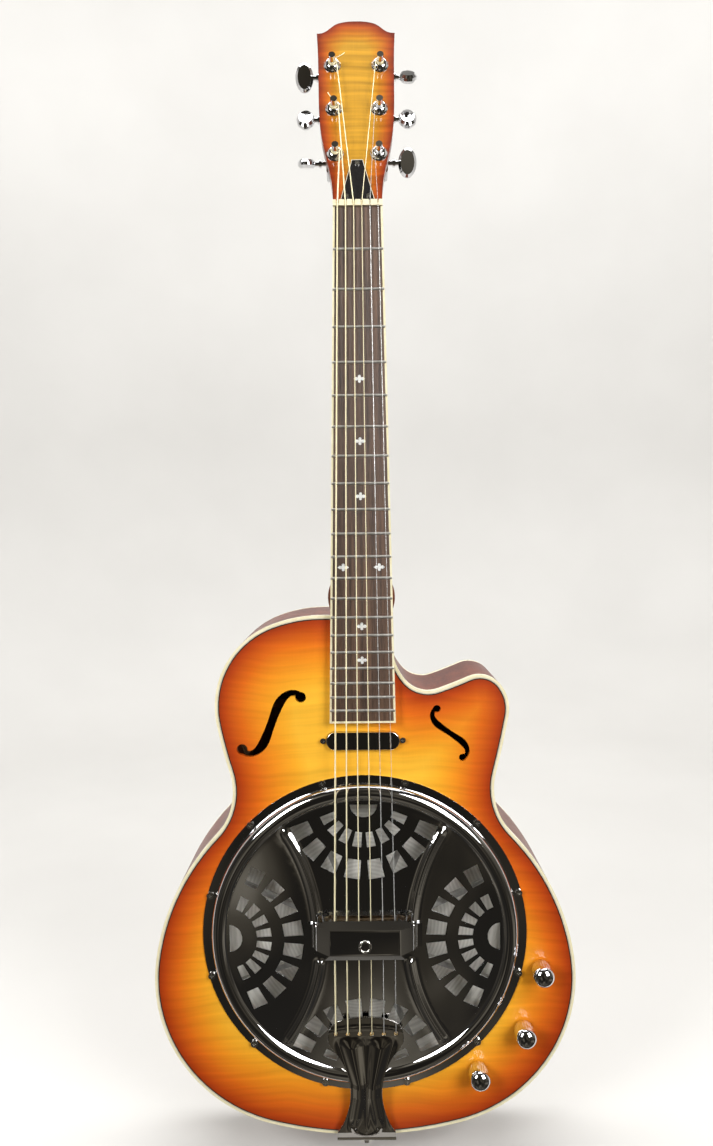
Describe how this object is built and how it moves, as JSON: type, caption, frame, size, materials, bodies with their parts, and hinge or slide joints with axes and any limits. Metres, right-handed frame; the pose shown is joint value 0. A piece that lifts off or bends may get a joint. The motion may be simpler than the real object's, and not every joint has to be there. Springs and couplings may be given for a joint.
{
  "type": "resonator guitar",
  "caption": "Resonator guitar with a cutaway sunburst body, pierced metal coverplate over a spun cone, long neck, geared tuners and knobs.",
  "frame": {"origin": "centre line of the neck at the fretboard edge of the nut, in the plane of the soundboard face", "axes": "+X to the treble side, -Y out of the front, +Z along the neck to the headstock"},
  "size_m": [0.393, 0.1103, 1.0425],
  "materials": {
    "sunburst_maple": "gloss",
    "mahogany": "gloss",
    "mahogany_neck": "satin",
    "cream_binding": "gloss",
    "purfling_light": "satin",
    "purfling_dark": "satin",
    "raw_wood": "raw",
    "saddle_maple": "raw",
    "cone_aluminium": "spun satin",
    "spider_metal": "cast",
    "chrome": "polished",
    "screw_nickel": "polished",
    "black_plastic": "gloss",
    "pot_steel": "plated",
    "lead_black": "matt",
    "rosewood": "satin",
    "inlay_pearl": "pearl",
    "fret_nickel": "polished",
    "nut_cream": "gloss",
    "steel": "plain",
    "string_bronze": "wound",
    "string_steel": "polished",
    "brass_ball": "polished"
  },
  "bodies": {
    "guitar": {"back_braces": "raw_wood", "back_plate": "mahogany", "binding_back": "cream_binding", "binding_top": "cream_binding", "coverplate": "chrome", "coverplate_screws": "screw_nickel", "end_blocks": "raw_wood", "fret_inlays": "inlay_pearl", "fretboard": "rosewood", "fretboard_binding": "cream_binding", "frets": "fret_nickel", "headstock_veneer": "sunburst_maple", "linings": "raw_wood", "neck": "mahogany_neck", "neck_bolts": "steel", "nut": "nut_cream", "output_jack": "screw_nickel", "palm_rest": "chrome", "pickup_core": "black_plastic", "pickup_cover": "chrome", "pot_bodies": "pot_steel", "purfling_dark": "purfling_dark", "purfling_light": "purfling_light", "resonator_cone": "cone_aluminium", "saddle": "saddle_maple", "side_bass": "mahogany", "side_treble": "mahogany", "soundboard": "sunburst_maple", "soundwell": "raw_wood", "spider_bridge": "spider_metal", "strap_buttons": "screw_nickel", "string_ball_ends": "brass_ball", "strings_plain": "string_steel", "strings_wound": "string_bronze", "tailpiece": "chrome", "tension_screw": "screw_nickel", "trim_screws": "screw_nickel", "truss_rod": "steel", "truss_rod_cover": "black_plastic", "tuner_bushings": "chrome", "tuner_housings": "chrome", "wiring": "lead_black"},
    "tuner_1": {"tuner_knob_1": "chrome"},
    "tuner_2": {"tuner_knob_2": "chrome"},
    "tuner_3": {"tuner_knob_3": "chrome"},
    "tuner_4": {"tuner_knob_4": "chrome"},
    "tuner_5": {"tuner_knob_5": "chrome"},
    "tuner_6": {"tuner_knob_6": "chrome"},
    "post_1": {"string_post_1": "chrome"},
    "post_2": {"string_post_2": "chrome"},
    "post_3": {"string_post_3": "chrome"},
    "post_4": {"string_post_4": "chrome"},
    "post_5": {"string_post_5": "chrome"},
    "post_6": {"string_post_6": "chrome"},
    "control_1": {"control_knob_1": "chrome", "pot_shaft_1": "steel"},
    "control_2": {"control_knob_2": "chrome", "pot_shaft_2": "steel"},
    "control_3": {"control_knob_3": "chrome", "pot_shaft_3": "steel"}
  },
  "joints": [
    {"name": "tuner_1_turn", "type": "hinge", "parent": "guitar", "child": "tuner_1", "pos_m": [-0.0292, 0.03271, 0.05338], "axis": [-1, 0, 0], "continuous": true},
    {"name": "post_1_turn", "type": "hinge", "parent": "guitar", "child": "post_1", "pos_m": [-0.0192, 0.01076, 0.05216], "axis": [0, -0.9703, 0.2419], "continuous": true},
    {"name": "tuner_2_turn", "type": "hinge", "parent": "guitar", "child": "tuner_2", "pos_m": [-0.0302, 0.04369, 0.09743], "axis": [-1, 0, 0], "continuous": true},
    {"name": "post_2_turn", "type": "hinge", "parent": "guitar", "child": "post_2", "pos_m": [-0.0202, 0.02174, 0.09621], "axis": [0, -0.9703, 0.2419], "continuous": true},
    {"name": "tuner_3_turn", "type": "hinge", "parent": "guitar", "child": "tuner_3", "pos_m": [-0.0315, 0.05446, 0.14061], "axis": [-1, 0, 0], "continuous": true},
    {"name": "post_3_turn", "type": "hinge", "parent": "guitar", "child": "post_3", "pos_m": [-0.0215, 0.03251, 0.13939], "axis": [0, -0.9703, 0.2419], "continuous": true},
    {"name": "tuner_4_turn", "type": "hinge", "parent": "guitar", "child": "tuner_4", "pos_m": [0.0315, 0.05446, 0.14061], "axis": [1, 0, 0], "continuous": true},
    {"name": "post_4_turn", "type": "hinge", "parent": "guitar", "child": "post_4", "pos_m": [0.0215, 0.03251, 0.13939], "axis": [0, -0.9703, 0.2419], "continuous": true},
    {"name": "tuner_5_turn", "type": "hinge", "parent": "guitar", "child": "tuner_5", "pos_m": [0.0302, 0.04369, 0.09743], "axis": [1, 0, 0], "continuous": true},
    {"name": "post_5_turn", "type": "hinge", "parent": "guitar", "child": "post_5", "pos_m": [0.0202, 0.02174, 0.09621], "axis": [0, -0.9703, 0.2419], "continuous": true},
    {"name": "tuner_6_turn", "type": "hinge", "parent": "guitar", "child": "tuner_6", "pos_m": [0.0292, 0.03271, 0.05338], "axis": [1, 0, 0], "continuous": true},
    {"name": "post_6_turn", "type": "hinge", "parent": "guitar", "child": "post_6", "pos_m": [0.0192, 0.01076, 0.05216], "axis": [0, -0.9703, 0.2419], "continuous": true},
    {"name": "control_1_turn", "type": "hinge", "parent": "guitar", "child": "control_1", "pos_m": [0.162, -0.01, -0.685], "axis": [0, -1, 0], "range_deg": [-150, 150]},
    {"name": "control_2_turn", "type": "hinge", "parent": "guitar", "child": "control_2", "pos_m": [0.146, -0.01, -0.7425], "axis": [0, -1, 0], "range_deg": [-150, 150]},
    {"name": "control_3_turn", "type": "hinge", "parent": "guitar", "child": "control_3", "pos_m": [0.104, -0.01, -0.782], "axis": [0, -1, 0], "range_deg": [-150, 150]}
  ],
  "couplings": [
    {"joint": "post_1_turn", "follows": "tuner_1_turn", "ratio": 0.071429},
    {"joint": "post_2_turn", "follows": "tuner_2_turn", "ratio": 0.071429},
    {"joint": "post_3_turn", "follows": "tuner_3_turn", "ratio": 0.071429},
    {"joint": "post_4_turn", "follows": "tuner_4_turn", "ratio": -0.071429},
    {"joint": "post_5_turn", "follows": "tuner_5_turn", "ratio": -0.071429},
    {"joint": "post_6_turn", "follows": "tuner_6_turn", "ratio": -0.071429}
  ]
}
